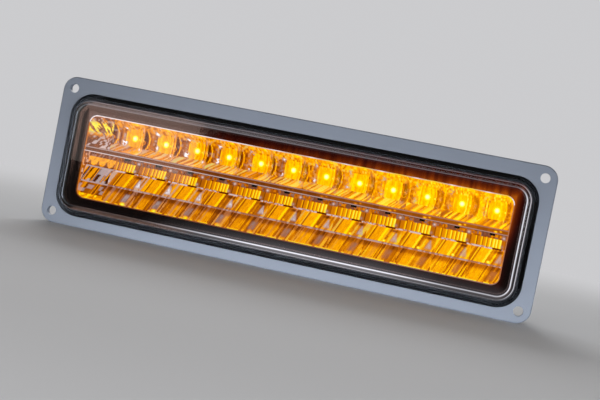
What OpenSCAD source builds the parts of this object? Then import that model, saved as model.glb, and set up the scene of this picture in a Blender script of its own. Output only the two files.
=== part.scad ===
// Parking and turn-signal lamp for a bumper, with a clear lens and amber light-emitting diodes.
// Every piece is drawn flat, with x to the right, y up and z towards the viewer of the lit face.
// stand_up() then turns it to its place on the vehicle: x right, z up, the lit face towards -y.
// The origin is the middle of the four screw holes, on the back face of the mounting flange.

/* [Mounting flange] */
// Distance between the left and the right screw holes
hole_pitch_x = 270; // [266:0.5:274]
// Distance between the upper and the lower screw holes
hole_pitch_y = 72; // [71:0.5:76]
// Diameter of each screw hole
screw_hole_d = 5.3; // [4.3:0.1:6]
// Flange beyond the centres of the screw holes, on all four sides
hole_edge = 6.7; // [6:0.1:9]
// Corner radius of the flange
flange_r = 8; // [5:0.5:9]
// Thickness of the flange
flange_t = 3; // [2.5:0.1:4]
// Chamfer round the front edge of the flange
flange_chamfer = 0.5; // [0.2:0.1:1]

/* [Lens] */
// From the left and right screw holes in to the edge of the lens foot
lens_inset_x = 1; // [0.8:0.1:4]
// From the upper and lower screw holes in to the edge of the lens foot
lens_inset_y = 0.75; // [0.5:0.05:1.5]
// Corner radius of the lens at its foot
lens_r = 13; // [12.5:0.5:15]
// How far the middle of the lens lies below the middle of the screw holes
lens_drop = 1; // [0:0.1:1.2]
// Height of the lens face above the flange
lens_rise = 5.5; // [5:0.1:8]
// Wall thickness of the lens
lens_wall = 2.5; // [2:0.1:2.8]
// How far the sloping side of the lens leans in
lens_lean = 3.4; // [2.5:0.1:4]
// Radius of the rounded shoulder of the lens
lens_shoulder_r = 3; // [2:0.1:3.2]

/* [Housing] */
// Depth of the bowl behind the back face of the flange
bowl_depth = 34; // [32:0.5:45]
// Wall thickness of the housing
wall = 2.4; // [2:0.1:2.6]
// How far the bowl wall leans in from the flange to the floor
bowl_draft = 2; // [1:0.1:2.6]
// Size of the chamfer between the bowl wall and its floor
floor_chamfer = 2.5; // [1:0.1:2.8]
// Depth of the sealing groove below the back face of the flange
groove_depth = 1.6; // [1:0.1:2]
// Thickness of the wall outside the sealing groove
channel_wall = 1.5; // [1.2:0.1:1.8]
// Gap between the lens foot and the outer wall of the groove
seal_gap = 0.4; // [0.3:0.05:0.6]
// Thickness of the sealing bead under the lens foot
seal_bed = 1.2; // [0.8:0.1:1.4]
// Thickness of the stiffening ribs on the back
rib_t = 2; // [1.5:0.1:3]
// Height of the stiffening ribs
rib_h = 3; // [2:0.5:5]

/* [Window and reflectors] */
// Black border at the left and right, from the edge of the lens foot to the lit window
border_x = 11.75; // [11:0.25:14]
// Black border above and below, from the edge of the lens foot to the lit window
border_y = 10.85; // [10:0.05:12]
// Corner radius of the window
window_r = 5; // [3:0.5:6]
// How far the middle of the window lies below the middle of the screw holes
window_drop = 1.1; // [0.5:0.1:1.5]
// Thickness of the black bezel plate
bezel_t = 1.4; // [1:0.1:1.6]
// Width of the plain cell at the left end; the bowls share what it leaves
end_w = 15.3; // [12:0.1:20]
// Height of the upper row of bowls
row_h = 18.5; // [17:0.1:20]
// Height of the plain bar between the upper row and the steps
bar_h = 3; // [2.5:0.1:4]
// Depth of each bowl
bowl_d = 11.5; // [10:0.1:12]
// Depth of the plain end cell
end_cell_d = 5; // [3:0.1:7]
// Wall thickness of the reflectors
skin = 1.6; // [1.2:0.1:1.8]
// Height of each of the two upper steps; the third one takes the rest of the window
step_h = 8.5; // [7.8:0.1:9]
// How far each step comes forward from its upper to its lower edge
step_rise = 3.4; // [2.5:0.1:4]
// How far each ledge between two steps comes forward
ledge_rise = 1.7; // [1:0.1:2]
// Height of the narrow ledge face between two steps
ledge_h = 0.4; // [0.3:0.1:0.6]
// Depth of a wide flute
flute_depth = 0.9; // [0.5:0.1:1.2]
// Sideways lean of the flutes on the second and third step
flute_lean = 3.2; // [2:0.1:4]
// How far the reflectors reach behind the bezel all round
tuck = 1.2; // [1:0.1:2]

/* [Light boards] */
// Thickness of the circuit boards
board_t = 1.6; // [1:0.1:2]
// Height of the upper circuit board
board_h = 15; // [12:0.5:17]
// Width of a diode's body
diode_w = 3.2; // [2.6:0.1:3.4]
// Height of a diode's body without its dome
diode_h = 1.9; // [1.5:0.1:2.1]
// Diameter of a diode's dome
dome_d = 2.6; // [2:0.1:2.6]
// Gap between a bowl and the board behind it
board_gap = 0.4; // [0.2:0.1:0.6]
// Diameter of the board screws' threads
screw_d = 2.2; // [2:0.1:3]
// Diameter of the board screws' heads
screw_head_d = 4.2; // [4:0.1:5]
// Diameter of the posts that carry the boards
post_d = 6; // [5.5:0.5:8]

/* [Inlet and vent] */
// How far the middle of the inlet lies to the right of the lamp's middle
inlet_x = -62; // [-80:1:-45]
// Width of the inlet's shroud
inlet_w = 26; // [25:0.5:30]
// Height of the inlet's shroud
inlet_h = 14; // [13:0.5:16]
// Length of the inlet's shroud behind the housing
inlet_l = 16; // [14:0.5:20]
// Wall thickness of the inlet's shroud
inlet_wall = 1.8; // [1.5:0.1:2.2]
// Distance between the terminals
pin_pitch = 6.5; // [6:0.1:7]
// Width of a terminal blade
pin_w = 2.8; // [2:0.1:3]
// Thickness of a terminal blade
pin_t = 0.8; // [0.6:0.1:1]
// Diameter of the lead wires
lead_d = 1.8; // [1.4:0.1:2.2]
// How far the vent lies to the right of the lamp's middle
vent_x = 70; // [55:1:90]
// Outer diameter of the vent's spout
vent_d = 8; // [7:0.5:10]
// Bore of the vent's spout
vent_bore = 4; // [3:0.5:5]
// Length of the vent's spout
vent_l = 7; // [6:0.5:9]

/* [Hidden] */
// Outline of the flange
flange_w = hole_pitch_x + 2*hole_edge;
flange_h = hole_pitch_y + 2*hole_edge;
// The lens stands inside the screw holes, and the lit window inside the lens
lens_w = hole_pitch_x - 2*lens_inset_x;
lens_h = hole_pitch_y - 2*lens_inset_y;
window_w = lens_w - 2*border_x;
window_h = lens_h - 2*border_y;
// Heights above the back face of the flange: positive towards the viewer
face_z = flange_t + lens_rise;
foot_z = seal_bed - groove_depth;
groove_z = -groove_depth;
floor_z = -bowl_depth;
inner_floor_z = floor_z + wall;
// Distances outward from the centre of a corner arc of the lens
groove_out = lens_r + seal_gap;
groove_in = lens_r - lens_wall - 1.5;
lip_in = groove_in - 2;
channel_out = groove_out + channel_wall;
// The inner lip carries the bezel, and the bezel covers the rims of the reflectors
lip_z = 2;
bezel_z = lip_z;
rim_z = lip_z - 0.3;
// The window's upper edge, the bar and the three steps, measured up from the window's middle
row_top = window_h/2;
bar_top = row_top - row_h;
bar_low = bar_top - bar_h;
bowls = 12;
row_right = window_w/2 + tuck;
// The plain end cell starts at the window's left edge, and the bowls share the rest
end_left = -window_w/2;
row_left = end_left + end_w;
pitch = (row_right - row_left)/bowls;
bowl_x = [for (c = [0:bowls-1]) row_left + (c + 0.5)*pitch];
last_step_h = bar_low + window_h/2 + tuck - 2*(step_h + ledge_h);
row_y = (row_top + bar_top)/2;
// Lines across one cell of the upper row, as shares of its width: the middle strip is the diode's hole
cell_lines = [0, 0.12, 0.25, 0.38, 0.62, 0.75, 0.88];
hole_line = 3;
// Lines across one pitch of the steps: two wide flutes and four narrow ones, each with its ridge
flute_lines = [0, 0.25, 0.5, 0.625, 0.75, 0.875, 1];
end_flute_lines = [0, 1/3, 2/3, 1];
// The board lies just behind the bowls
board_z = rim_z - bowl_d - skin - board_gap;
board_w = bowls*pitch + 2;
board_x = (row_left + row_right)/2 - 1;
// The lower board lies behind the bar, its diodes facing down over the steps
strip_t = 1;
strip_low = bar_low - 0.1;
strip_depth = 8;
strip_front = rim_z - skin - 0.3;
low_diode_w = 2.8;
low_diode_h = 1.2;
low_diode_z = strip_front - strip_depth/2;
step_z0 = rim_z - 1.2 - 3*step_rise - 2*ledge_rise;
// Posts on the housing's floor carry the upper board between the bowls
post_x = [for (c = [1, 6, 11]) row_left + c*pitch];
post_bore = screw_d - 0.3;
screw_head_h = 1.6;
// Legs at the back of the reflectors stand in sockets on the housing's floor
leg_x = [for (c = [1, 6, 11]) row_left + c*pitch];
leg_d = 2.6;
leg_pin_d = 1.8;
leg_fit = 0.15;
leg_y_row = bar_top - 0.5;
leg_y_step = bar_low - 2*(step_h + ledge_h) - last_step_h/2;
leg_pin_l = 4;
socket_d = 6;
socket_h = 6;
socket_z = inner_floor_z + socket_h;
leg_top_row = rim_z - skin + 0.2;
// Threads of the screws, from the seat of the head
board_screw_l = 8;
inlet_screw_l = 6;
// Parts on the back of the upper board: place across it, then width, height and thickness
rectifier_x = -30;
rectifier_size = [5, 3.8, 2.8];
chip_x = 24;
chip_size = [6.6, 6.1, 2.4];
can_x = 44;
can_d = 6.3;
can_h = 7.8;
resistor_x = 58;
resistor_pitch = 5;
resistor_size = [3.2, 6.3, 0.8];
// Spacing of the short ribs across the back, and their distance from the inlet
rib_pitch = 44;
rib_clear = 1.5;
// The inlet and the vent pass through the housing's floor
inlet_y = row_y - board_h/2 - window_drop + 3;
inlet_flange = 3.2;
inlet_flange_t = 2;
gasket_t = 1;
inlet_hole_w = inlet_w - 2*inlet_wall;
inlet_hole_h = inlet_h - 2*inlet_wall;
inlet_fit = 0.2;
inlet_screw_x = inlet_w/2 + 3.2;
tail_z = inner_floor_z + 3;
blade_z = floor_z - gasket_t - inlet_l + 4;
cap_wall = 1.2;

low_names = [for (i = [1:bowls]) str("step_diode_", i < 10 ? "0" : "", i)];
row_names = [for (i = [1:bowls]) str("row_diode_", i < 10 ? "0" : "", i)];

// Turns a piece from its flat drawing to its place on the vehicle
module stand_up() {
    rotate([90, 0, 0]) children();
}

// Moves the middle of the lens, or of the window, to its place on the flange
module at_lens() {
    translate([0, -lens_drop, 0]) children();
}

module at_window() {
    translate([0, -window_drop, 0]) children();
}

// A rectangle with round corners, in the plane
module round_rect(w, h, r) {
    union() {
        square([w - 2*r, h], center = true);
        square([w, h - 2*r], center = true);
        for (sx = [-1, 1], sy = [-1, 1])
            translate([sx*(w/2 - r), sy*(h/2 - r)])
                circle(r = r, $fn = 64);
    }
}

// Carries a profile round a rectangle with round corners. The profile's x is the distance
// outward from the centre of the corner arc, and its y is the height.
module carry_round(w, h, r) {
    for (turn = [0:3]) {
        across = turn % 2 == 0 ? w : h;
        along = turn % 2 == 0 ? h : w;
        rotate([0, 0, 90*turn])
            translate([across/2 - r, along/2 - r, 0]) {
                rotate([90, 0, 0])
                    linear_extrude(along - 2*r)
                        children();
                rotate_extrude(angle = 90, $fn = 64)
                    children();
            }
    }
}

// Points of an arc from one angle to another, in n steps
function arc(centre, r, from, to, n) =
    [for (i = [0:n]) centre + r*[cos(from + (to - from)*i/n), sin(from + (to - from)*i/n)]];

// A closed sheet between a front grid of points and the same grid moved back.
// open(i, j) tells which squares of the grid are holes.
module grid_sheet(front, back, open) {
    rows = len(front);
    cols = len(front[0]);
    n = rows*cols;
    function at(i, j) = i*cols + j;
    function solid(i, j) = i >= 0 && j >= 0 && i < rows - 1 && j < cols - 1 && !open[i][j];
    faces = [for (i = [0:rows-2], j = [0:cols-2]) if (solid(i, j)) each [
        [at(i, j), at(i, j+1), at(i+1, j+1)],
        [at(i, j), at(i+1, j+1), at(i+1, j)],
        [n + at(i, j), n + at(i+1, j+1), n + at(i, j+1)],
        [n + at(i, j), n + at(i+1, j), n + at(i+1, j+1)]]];
    // A wall closes each edge that has a square on one side only
    across = [for (i = [0:rows-1], j = [0:cols-2])
        let (a = solid(i, j), b = solid(i-1, j)) if (a != b) each
        (a ? [[at(i, j), n + at(i, j+1), at(i, j+1)], [at(i, j), n + at(i, j), n + at(i, j+1)]]
           : [[at(i, j), at(i, j+1), n + at(i, j+1)], [at(i, j), n + at(i, j+1), n + at(i, j)]])];
    down = [for (i = [0:rows-2], j = [0:cols-1])
        let (a = solid(i, j), b = solid(i, j-1)) if (a != b) each
        (a ? [[at(i, j), at(i+1, j), n + at(i+1, j)], [at(i, j), n + at(i+1, j), n + at(i, j)]]
           : [[at(i, j), n + at(i+1, j), at(i+1, j)], [at(i, j), n + at(i, j), n + at(i+1, j)]])];
    polyhedron(points = concat([for (row = front) each row], [for (row = back) each row]),
        faces = concat(faces, across, down), convexity = 10);
}

// Grey moulding: flange with four screw holes, sealing groove, deep bowl, posts, ribs and spouts
module housing() {
    profile = [
        [channel_out, flange_t],
        [groove_out, flange_t],
        [groove_out, groove_z],
        [groove_in, groove_z],
        [groove_in, lip_z],
        [lip_in, lip_z],
        [lip_in - bowl_draft, inner_floor_z],
        [0, inner_floor_z],
        [0, floor_z],
        [lip_in - bowl_draft + wall - floor_chamfer, floor_z],
        [lip_in - bowl_draft + wall, floor_z + floor_chamfer],
        [groove_in, groove_z - wall],
        [channel_out, groove_z - wall]];
    color("slategray") stand_up() difference() {
        union() {
            difference() {
                flange_plate();
                translate([0, -lens_drop, -1]) linear_extrude(flange_t + 2)
                    round_rect(lens_w + 2*seal_gap + channel_wall, lens_h + 2*seal_gap + channel_wall,
                        groove_out + channel_wall/2);
            }
            at_lens() {
                carry_round(lens_w, lens_h, lens_r)
                    polygon(profile);
                translate([0, 0, (floor_z + inner_floor_z)/2])
                    cube([lens_w - 2*lens_r, lens_h - 2*lens_r, wall], center = true);
            }
            board_posts();
            leg_sockets();
            back_ribs();
            translate([vent_x, inlet_y, floor_z - vent_l])
                cylinder(d = vent_d, h = vent_l + wall/2, $fn = 48);
            for (side = [-1, 1])
                translate([inlet_x + side*inlet_screw_x, inlet_y, inner_floor_z - wall/2])
                    cylinder(d = post_d, h = 5, $fn = 48);
        }
        for (sx = [-1, 1], sy = [-1, 1])
            translate([sx*hole_pitch_x/2, sy*hole_pitch_y/2, -1])
                cylinder(d = screw_hole_d, h = flange_t + 2, $fn = 48);
        for (x = post_x)
            translate([x, row_y - window_drop, inner_floor_z])
                cylinder(d = post_bore, h = board_z - inner_floor_z, $fn = 32);
        for (x = leg_x, y = [leg_y_row, leg_y_step])
            translate([x, y - window_drop, inner_floor_z])
                cylinder(d = leg_pin_d + 2*leg_fit, h = socket_z - inner_floor_z + 1, $fn = 32);
        translate([vent_x, inlet_y, floor_z - vent_l - 1])
            cylinder(d = vent_bore, h = vent_l + wall + 2, $fn = 32);
        translate([inlet_x, inlet_y, floor_z + wall/2])
            cube([inlet_hole_w, inlet_hole_h, wall + 2], center = true);
        for (side = [-1, 1])
            translate([inlet_x + side*inlet_screw_x, inlet_y, floor_z - 1])
                cylinder(d = post_bore, h = wall + 3, $fn = 32);
    }
}

// Flat flange with round corners and a small chamfer round its front edge
module flange_plate() {
    carry_round(flange_w, flange_h, flange_r)
        polygon([
            [0, 0],
            [flange_r, 0],
            [flange_r, flange_t - flange_chamfer],
            [flange_r - flange_chamfer, flange_t],
            [0, flange_t]]);
    translate([0, 0, flange_t/2])
        cube([flange_w - 2*flange_r, flange_h - 2*flange_r, flange_t], center = true);
}

// Round posts that carry the upper board at its middle line
module board_posts() {
    for (x = post_x)
        translate([x, row_y - window_drop, inner_floor_z - wall/2])
            cylinder(d = post_d, h = board_z - board_t - inner_floor_z + wall/2, $fn = 48);
}

// Short sockets for the pins of the reflectors' legs
module leg_sockets() {
    for (x = leg_x, y = [leg_y_row, leg_y_step])
        translate([x, y - window_drop, inner_floor_z - wall/2])
            cylinder(d = socket_d, h = socket_z - inner_floor_z + wall/2, $fn = 48);
}

// Low ribs on the back of the bowl, two along and four across, clear of the inlet's flange
module back_ribs() {
    rib_w = lens_w - 2*lens_r;
    rib_tall = lens_h - 2*lens_r;
    difference() {
        at_lens() {
            for (sy = [-1, 1])
                translate([0, sy*rib_tall/2, floor_z - rib_h/2 + 0.5])
                    cube([rib_w, rib_t, rib_h + 1], center = true);
            for (i = [-2:2])
                translate([i*rib_pitch, 0, floor_z - rib_h/2 + 0.5])
                    cube([rib_t, rib_tall, rib_h + 1], center = true);
        }
        translate([inlet_x, inlet_y, floor_z - rib_h])
            cube([inlet_w + 4*inlet_flange + 2*rib_clear, inlet_h + 2*inlet_wall + 2*rib_clear, 2*rib_h],
                center = true);
    }
}

// Clear cover, moulded in one piece with a rounded shoulder and a foot that stands in the groove
module lens() {
    shoulder_c = [lens_r - lens_lean - lens_shoulder_r, face_z - lens_shoulder_r];
    inner_r = max(lens_shoulder_r - lens_wall, 0.5);
    side_z = flange_t + 0.8;
    inner_face = face_z - lens_wall;
    profile = concat(
        [[lens_r, foot_z], [lens_r, side_z]],
        arc(shoulder_c, lens_shoulder_r, 18, 90, 6),
        [[0, face_z], [0, inner_face]],
        [[shoulder_c[0] - 0.6, inner_face], [shoulder_c[0] + inner_r, inner_face - inner_r]],
        [[lens_r - lens_wall, side_z - 1.2], [lens_r - lens_wall, foot_z]]);
    color("whitesmoke", 0.4) stand_up() at_lens() {
        carry_round(lens_w, lens_h, lens_r)
            polygon(profile);
        translate([0, 0, face_z - lens_wall/2])
            cube([lens_w - 2*lens_r, lens_h - 2*lens_r, lens_wall], center = true);
    }
}

// Black bead that beds the lens foot in the housing's groove and fills it level with the lip
module lens_seal() {
    color("black") stand_up() at_lens()
        carry_round(lens_w, lens_h, lens_r)
            polygon([
                [groove_out, groove_z],
                [groove_out, flange_t - 0.5],
                [lens_r, flange_t - 0.5],
                [lens_r, foot_z],
                [lens_r - lens_wall, foot_z],
                [lens_r - lens_wall, lip_z - 0.6],
                [groove_in, lip_z - 0.6],
                [groove_in, groove_z]]);
}

// Black frame that lies on the inner lip and covers the rims of both reflectors
module bezel() {
    inset = lens_r - groove_in + 0.2;
    rib = lip_in - 0.3;
    color("#15151a") stand_up() {
        translate([0, 0, bezel_z]) linear_extrude(bezel_t) difference() {
            translate([0, -lens_drop])
                round_rect(lens_w - 2*inset, lens_h - 2*inset, lens_r - inset);
            translate([0, -window_drop])
                round_rect(window_w, window_h, window_r);
        }
        at_lens()
            carry_round(lens_w, lens_h, lens_r)
                polygon([
                    [rib, bezel_z + bezel_t/2],
                    [rib, bezel_z - 3],
                    [rib - 1.2, bezel_z - 3],
                    [rib - 1.2, bezel_z + bezel_t/2]]);
    }
}

// Depth of the upper row at a place in the window: one square-mouthed bowl a cell
function bowl_z(x, y) =
    let (in_end = x < row_left,
        cell = in_end ? (x - end_left)/end_w : (x - row_left)/pitch,
        s = 2*(cell - floor(cell)) - 1,
        t = 2*(y - row_y)/row_h,
        inside = abs(t) < 1 && x > end_left,
        depth = in_end ? end_cell_d : bowl_d)
    inside ? rim_z - depth*(1 - s*s)*(1 - t*t*t*t) : rim_z;

// Bright upper reflector: a row of square-mouthed bowls, each open at its bottom for a diode,
// with the plain bar below them and four legs
module row_reflector() {
    xs = concat([end_left - tuck],
        [for (share = cell_lines) end_left + share*end_w],
        [for (c = [0:bowls-1], share = cell_lines) row_left + (c + share)*pitch],
        [row_right]);
    ys = concat([row_top + tuck],
        [for (share = cell_lines) row_top - share*row_h],
        [bar_top, bar_low + 0.1]);
    front = [for (y = ys) [for (x = xs) [x, y, bowl_z(x, y)]]];
    back = [for (y = ys) [for (x = xs) [x, y, bowl_z(x, y) - skin]]];
    open = [for (i = [0:len(ys)-2]) [for (j = [0:len(xs)-2])
        i == hole_line + 1 && j > len(cell_lines) && (j - 1) % len(cell_lines) == hole_line]];
    color("gainsboro") stand_up() at_window() {
        grid_sheet(front, back, open);
        for (x = leg_x)
            leg(x, leg_y_row, leg_top_row);
    }
}

// A round leg with a thinner pin that enters its socket in the housing
module leg(x, y, top) {
    translate([x, y, socket_z])
        cylinder(d = leg_d, h = top - socket_z, $fn = 32);
    translate([x, y, socket_z - leg_pin_l])
        cylinder(d = leg_pin_d, h = leg_pin_l + 1, $fn = 32);
}

// Depth of the steps at a place down the window: three slopes with narrow ledges between them
function step_z(k, share) = step_z0 + k*(step_rise + ledge_rise) + share*step_rise;

// Bright lower reflector: three steps with upright and leaning flutes
module step_reflector() {
    ridges = concat(
        [for (f = [0:2]) each [[end_left + end_flute_lines[f]*end_w, 0],
            [end_left + (end_flute_lines[f] + end_flute_lines[f+1])/2*end_w, flute_depth]]],
        [for (c = [0:bowls-1], f = [0:5]) each [[row_left + (c + flute_lines[f])*pitch, 0],
            [row_left + (c + (flute_lines[f] + flute_lines[f+1])/2)*pitch,
                flute_depth*(0.4 + 2*(flute_lines[f+1] - flute_lines[f]))]]]);
    lows = [for (k = [0:2], share = [0, 0.5, 1])
        [bar_low - k*(step_h + ledge_h) - share*(k == 2 ? last_step_h : step_h), k, share]];
    front = [for (low = lows) concat(
        [[end_left - tuck, low[0], step_z(low[1], low[2])]],
        [for (r = ridges)
            let (lean = low[1] == 0 ? 0 : flute_lean*(0.5 - low[2]),
                edge = min(1, (r[0] - end_left)/end_w, (row_right - r[0])/end_w))
            [r[0] + lean*edge, low[0], step_z(low[1], low[2]) + r[1]]],
        [[row_right, low[0], step_z(low[1], low[2])]])];
    back = [for (row = front) [for (p = row) [p[0], p[1] - 0.01, p[2] - skin - 0.9]]];
    none = [for (i = [0:len(front)-2]) [for (j = [0:len(front[0])-2]) false]];
    color("gainsboro") stand_up() at_window() {
        grid_sheet(front, back, none);
        for (x = leg_x)
            leg(x, leg_y_step, step_z(2, 0.5) - skin/2 - 0.3);
    }
}

// Circuit board of the upper row, screwed to the housing's posts
module row_board() {
    color("darkgreen") stand_up() at_window()
        difference() {
            translate([board_x, row_y, board_z - board_t/2])
                cube([board_w, board_h, board_t], center = true);
            for (x = post_x)
                translate([x, row_y, board_z - board_t - 1])
                    cylinder(d = screw_d + 0.3, h = board_t + 2, $fn = 32);
        }
}

// Narrow circuit board under the bar, its diodes facing down over the steps
module step_board() {
    color("darkgreen") stand_up() at_window()
        translate([board_x, strip_low + strip_t/2, strip_front - strip_depth/2])
            cube([board_w, strip_t, strip_depth], center = true);
}

// One diode of the upper row: square body and clear dome
module row_diode(i) {
    color("orange") stand_up() at_window() translate([bowl_x[i], row_y, board_z]) {
        translate([0, 0, diode_h/2])
            cube([diode_w, diode_w, diode_h], center = true);
        intersection() {
            translate([0, 0, diode_h - 0.2])
                sphere(d = dome_d, $fn = 32);
            translate([0, 0, diode_h + dome_d/2 - 0.1])
                cube([dome_d + 1, dome_d + 1, dome_d + 0.2], center = true);
        }
    }
}

// One diode of the lower strip: a flat square body that faces down
module step_diode(i) {
    color("orange") stand_up() at_window()
        translate([bowl_x[i], strip_low - low_diode_h/2, low_diode_z])
            cube([low_diode_w, low_diode_h, low_diode_w], center = true);
}

// Three round-headed screws that hold the upper board to its posts
module board_screws() {
    color("silver") stand_up() at_window()
        for (x = post_x)
            translate([x, row_y, board_z]) {
                cylinder(d = screw_head_d, h = screw_head_h, $fn = 32);
                translate([0, 0, -board_screw_l])
                    cylinder(d = post_bore, h = board_screw_l + 0.1, $fn = 32);
            }
}

// Lays a part of this thickness on the back of the upper board
module on_board_back(x, thickness) {
    stand_up() at_window()
        translate([x, row_y, board_z - board_t - thickness/2])
            children();
}

module rectifier_diode() {
    color("black") on_board_back(rectifier_x, rectifier_size[2])
        cube(rectifier_size, center = true);
}

module driver_chip() {
    color("black") on_board_back(chip_x, chip_size[2])
        cube(chip_size, center = true);
}

module capacitor() {
    color("silver") on_board_back(can_x, can_h)
        cylinder(d = can_d, h = can_h, center = true, $fn = 48);
}

module resistors() {
    color("black")
        for (i = [0:3])
            on_board_back(resistor_x + i*resistor_pitch, resistor_size[2])
                cube(resistor_size, center = true);
}

// A straight lead from a terminal's tail to the back of the board
module lead(k, tint) {
    color(tint) stand_up()
        translate([inlet_x + (k - 1)*pin_pitch, inlet_y, tail_z])
            cylinder(d = lead_d, h = board_z - board_t - tail_z, $fn = 32);
}

// Black shroud of the inlet: flange, neck and open socket with a wall behind the terminals
module inlet_shell() {
    color("#202024") stand_up() translate([inlet_x, inlet_y, 0]) difference() {
        union() {
            translate([0, 0, floor_z - gasket_t - inlet_flange_t/2])
                cube([inlet_w + 4*inlet_flange, inlet_h + 2*inlet_wall, inlet_flange_t], center = true);
            translate([0, 0, floor_z - gasket_t - inlet_l]) linear_extrude(inlet_l)
                round_rect(inlet_w, inlet_h, 2);
            translate([0, 0, (floor_z - gasket_t + inner_floor_z)/2])
                cube([inlet_hole_w - 2*inlet_fit, inlet_hole_h - 2*inlet_fit, wall + gasket_t],
                    center = true);
        }
        translate([0, 0, floor_z - gasket_t - inlet_l - 1]) linear_extrude(inlet_l - inlet_flange_t + 1)
            round_rect(inlet_w - 2*inlet_wall, inlet_h - 2*inlet_wall, 1);
        for (k = [-1:1])
            translate([k*pin_pitch, 0, floor_z])
                cube([pin_w, pin_t, 4*wall + 2*gasket_t], center = true);
        for (side = [-1, 1])
            translate([side*inlet_screw_x, 0, floor_z - gasket_t - inlet_flange_t - 1])
                cylinder(d = screw_d + 0.3, h = inlet_flange_t + 2, $fn = 32);
    }
}

// Flat rubber gasket between the inlet and the housing
module inlet_gasket() {
    color("black") stand_up() translate([inlet_x, inlet_y, floor_z - gasket_t/2]) difference() {
        cube([inlet_w + 4*inlet_flange, inlet_h + 2*inlet_wall, gasket_t], center = true);
        cube([inlet_hole_w, inlet_hole_h, 2*gasket_t], center = true);
        for (side = [-1, 1])
            translate([side*inlet_screw_x, 0, -gasket_t])
                cylinder(d = screw_d + 0.3, h = 2*gasket_t, $fn = 32);
    }
}

// Two screws that hold the inlet to the housing
module inlet_screws() {
    color("silver") stand_up()
        for (side = [-1, 1])
            translate([inlet_x + side*inlet_screw_x, inlet_y, floor_z - gasket_t - inlet_flange_t]) {
                translate([0, 0, -screw_head_h])
                    cylinder(d = screw_head_d, h = screw_head_h, $fn = 32);
                translate([0, 0, -0.1])
                    cylinder(d = post_bore, h = inlet_screw_l + 0.1, $fn = 32);
            }
}

// One flat terminal blade through the inlet's wall, with its tail under the lead
module terminal(k) {
    color("goldenrod") stand_up()
        translate([inlet_x + (k - 1)*pin_pitch, inlet_y, (tail_z + blade_z)/2])
            cube([pin_w, pin_t, tail_z - blade_z], center = true);
}

// Thin disc over the vent's bore, inside the bowl
module vent_membrane() {
    color("white") stand_up()
        translate([vent_x, inlet_y, inner_floor_z])
            cylinder(d = vent_bore + 4, h = 0.3, $fn = 48);
}

// Rubber cap over the vent's spout, with two slots that let air through
module vent_cap() {
    color("#26262a") stand_up() translate([vent_x, inlet_y, floor_z - vent_l - cap_wall]) difference() {
        cylinder(d = vent_d + 2*cap_wall, h = vent_l + cap_wall - 1, $fn = 48);
        translate([0, 0, cap_wall])
            cylinder(d = vent_d, h = vent_l, $fn = 48);
        translate([0, 0, vent_l])
            cube([2, vent_d + 4*cap_wall, 3], center = true);
    }
}

housing();
lens();
lens_seal();
bezel();
row_reflector();
step_reflector();
row_board();
step_board();
for (i = [0:bowls-1]) {
    row_diode(i);
    step_diode(i);
}
board_screws();
rectifier_diode();
driver_chip();
capacitor();
resistors();
lead(0, "black");  // lead_ground
lead(1, "saddlebrown");  // lead_park
lead(2, "royalblue");  // lead_turn
inlet_shell();
inlet_gasket();
inlet_screws();
terminal(0);  // terminal_ground
terminal(1);  // terminal_park
terminal(2);  // terminal_turn
vent_membrane();
vent_cap();
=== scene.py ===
"""Parking lamp for a bumper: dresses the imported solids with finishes, fine reflectors, lens and light."""
import math
import bmesh
import bpy
import numpy as np
from mathutils import Matrix, Vector


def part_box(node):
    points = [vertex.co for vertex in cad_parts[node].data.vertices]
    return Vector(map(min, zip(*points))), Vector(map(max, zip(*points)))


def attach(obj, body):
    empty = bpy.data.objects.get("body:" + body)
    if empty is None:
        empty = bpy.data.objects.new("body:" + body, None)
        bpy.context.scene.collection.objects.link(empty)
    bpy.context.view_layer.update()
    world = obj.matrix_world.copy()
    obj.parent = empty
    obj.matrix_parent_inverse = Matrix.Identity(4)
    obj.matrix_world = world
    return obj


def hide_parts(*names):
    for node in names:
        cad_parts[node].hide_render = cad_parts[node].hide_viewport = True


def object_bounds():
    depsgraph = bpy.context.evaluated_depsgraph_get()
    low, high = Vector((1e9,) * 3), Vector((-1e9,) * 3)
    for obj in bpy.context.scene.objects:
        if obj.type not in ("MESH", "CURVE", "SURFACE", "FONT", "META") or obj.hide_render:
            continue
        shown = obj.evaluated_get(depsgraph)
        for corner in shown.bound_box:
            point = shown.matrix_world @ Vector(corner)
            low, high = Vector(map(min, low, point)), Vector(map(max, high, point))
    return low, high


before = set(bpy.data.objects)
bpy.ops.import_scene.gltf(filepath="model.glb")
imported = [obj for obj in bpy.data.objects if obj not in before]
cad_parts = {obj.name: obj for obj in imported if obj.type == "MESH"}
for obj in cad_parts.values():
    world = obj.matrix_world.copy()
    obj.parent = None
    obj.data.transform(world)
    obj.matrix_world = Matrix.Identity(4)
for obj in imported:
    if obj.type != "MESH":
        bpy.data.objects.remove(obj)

cad_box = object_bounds()
MM = 0.001
scene = bpy.context.scene
scene.view_settings.view_transform = "Standard"

# The camera stands to the right of the lamp's middle and a little above it, rolled so that the lamp
# falls to the right. Its place was worked out from the four screw holes in the photograph.
CAMERA_AT = Vector((110.4, -545.9, 17.5)) * MM
CAMERA_LOOKS = Vector((-0.1856, 0.9820, -0.0340)).normalized()
CAMERA_UP = Vector((-0.197, -0.003, 0.980)).normalized()
CAMERA_LENS = 60.0

camera_data = bpy.data.cameras.new("camera")
camera_data.lens = CAMERA_LENS
camera_data.sensor_width = 36.0
camera_data.clip_start = 0.01
camera_data.clip_end = 50.0
camera = bpy.data.objects.new("camera", camera_data)
scene.collection.objects.link(camera)
side = CAMERA_LOOKS.cross(CAMERA_UP).normalized()
true_up = side.cross(CAMERA_LOOKS).normalized()
turn = Matrix((side, true_up, -CAMERA_LOOKS)).transposed().to_4x4()
camera.matrix_world = Matrix.Translation(CAMERA_AT) @ turn
scene.camera = camera


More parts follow.
